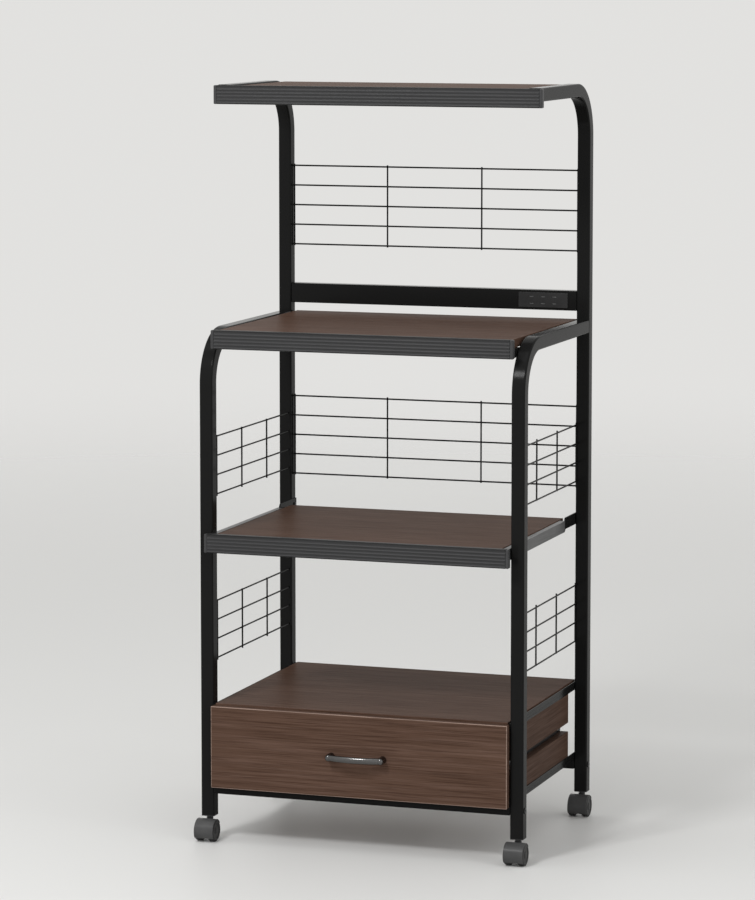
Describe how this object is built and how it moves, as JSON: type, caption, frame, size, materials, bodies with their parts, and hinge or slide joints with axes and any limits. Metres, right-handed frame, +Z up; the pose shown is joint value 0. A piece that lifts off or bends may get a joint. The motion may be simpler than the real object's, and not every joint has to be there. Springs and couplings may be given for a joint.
{
  "type": "kitchen cart",
  "caption": "Tall kitchen cart in bent black square tube with walnut shelves, a pull-out tray, a drawer, wire guards, an outlet bar and swivel casters.",
  "frame": {"origin": "bottom centre of the bounding box at rest, on the floor under the casters", "axes": "+Z up, -Y towards the front where the drawer opens, +X to the right seen from the front"},
  "size_m": [0.613, 0.471, 1.346],
  "materials": {
    "black_steel": "gloss",
    "walnut_board": "satin",
    "drawer_board": "satin",
    "fascia_profile": "satin",
    "cap_plastic": "satin",
    "black_plastic": "satin",
    "slide_steel": "satin",
    "fasteners": "satin",
    "handle_metal": "gloss",
    "caster_plastic": "satin",
    "wheel_plastic": "satin"
  },
  "bodies": {
    "frame": {"front_tube_left": "black_steel", "front_tube_right": "black_steel", "rear_tube_left": "black_steel", "rear_tube_right": "black_steel", "front_bottom_rail": "black_steel", "rear_bottom_rail": "black_steel", "side_angles": "black_steel", "shelf_brackets": "black_steel", "top_board": "walnut_board", "upper_board": "walnut_board", "cabinet_top_board": "walnut_board", "top_fascia": "fascia_profile", "upper_fascia": "fascia_profile", "fascia_end_caps": "cap_plastic", "top_back_guard": "black_steel", "middle_back_guard": "black_steel", "middle_side_guards": "black_steel", "lower_side_guards": "black_steel", "upper_side_panels": "walnut_board", "lower_side_panels": "walnut_board", "outlet_bar": "black_steel", "outlet_module": "black_plastic", "drawer_slide_channels": "slide_steel", "tray_slide_channels": "slide_steel", "tray_slide_brackets": "black_steel", "caster_sockets": "black_plastic", "frame_bolts": "fasteners", "frame_screws": "fasteners"},
    "drawer": {"drawer_front": "walnut_board", "drawer_box_front": "drawer_board", "drawer_side_left": "drawer_board", "drawer_side_right": "drawer_board", "drawer_back": "drawer_board", "drawer_bottom": "drawer_board", "drawer_handle": "handle_metal", "drawer_runners": "slide_steel", "drawer_screws": "fasteners"},
    "drawer_cages": {"drawer_ball_cages": "slide_steel"},
    "tray": {"tray_board": "walnut_board", "tray_fascia": "fascia_profile", "tray_end_caps": "cap_plastic", "tray_runners": "slide_steel", "tray_screws": "fasteners"},
    "tray_cages": {"tray_ball_cages": "slide_steel"},
    "caster_fl": {"caster_stem_fl": "slide_steel", "caster_housing_fl": "caster_plastic"},
    "wheels_fl": {"caster_wheels_fl": "wheel_plastic", "caster_axle_fl": "slide_steel"},
    "caster_fr": {"caster_stem_fr": "slide_steel", "caster_housing_fr": "caster_plastic"},
    "wheels_fr": {"caster_wheels_fr": "wheel_plastic", "caster_axle_fr": "slide_steel"},
    "caster_rl": {"caster_stem_rl": "slide_steel", "caster_housing_rl": "caster_plastic"},
    "wheels_rl": {"caster_wheels_rl": "wheel_plastic", "caster_axle_rl": "slide_steel"},
    "caster_rr": {"caster_stem_rr": "slide_steel", "caster_housing_rr": "caster_plastic"},
    "wheels_rr": {"caster_wheels_rr": "wheel_plastic", "caster_axle_rr": "slide_steel"}
  },
  "joints": [
    {"name": "drawer_slide", "type": "slide", "parent": "frame", "child": "drawer", "axis": [0, -1, 0], "range_m": [0, 0.25]},
    {"name": "drawer_cage_slide", "type": "slide", "parent": "frame", "child": "drawer_cages", "axis": [0, -1, 0], "range_m": [0, 0.125]},
    {"name": "tray_slide", "type": "slide", "parent": "frame", "child": "tray", "axis": [0, -1, 0], "range_m": [0, 0.25]},
    {"name": "tray_cage_slide", "type": "slide", "parent": "frame", "child": "tray_cages", "axis": [0, -1, 0], "range_m": [0, 0.125]},
    {"name": "swivel_fl", "type": "hinge", "parent": "frame", "child": "caster_fl", "pos_m": [-0.288, -0.1825, 0.044], "axis": [0, 0, 1], "continuous": true},
    {"name": "roll_fl", "type": "hinge", "parent": "caster_fl", "child": "wheels_fl", "pos_m": [-0.288, -0.1965, 0.019], "axis": [1, 0, 0], "continuous": true},
    {"name": "swivel_fr", "type": "hinge", "parent": "frame", "child": "caster_fr", "pos_m": [0.288, -0.1825, 0.044], "axis": [0, 0, 1], "continuous": true},
    {"name": "roll_fr", "type": "hinge", "parent": "caster_fr", "child": "wheels_fr", "pos_m": [0.288, -0.1965, 0.019], "axis": [1, 0, 0], "continuous": true},
    {"name": "swivel_rl", "type": "hinge", "parent": "frame", "child": "caster_rl", "pos_m": [-0.288, 0.2235, 0.044], "axis": [0, 0, 1], "continuous": true},
    {"name": "roll_rl", "type": "hinge", "parent": "caster_rl", "child": "wheels_rl", "pos_m": [-0.288, 0.2095, 0.019], "axis": [1, 0, 0], "continuous": true},
    {"name": "swivel_rr", "type": "hinge", "parent": "frame", "child": "caster_rr", "pos_m": [0.288, 0.2235, 0.044], "axis": [0, 0, 1], "continuous": true},
    {"name": "roll_rr", "type": "hinge", "parent": "caster_rr", "child": "wheels_rr", "pos_m": [0.288, 0.2095, 0.019], "axis": [1, 0, 0], "continuous": true}
  ],
  "couplings": [
    {"joint": "drawer_cage_slide", "follows": "drawer_slide", "ratio": 0.5},
    {"joint": "tray_cage_slide", "follows": "tray_slide", "ratio": 0.5}
  ]
}
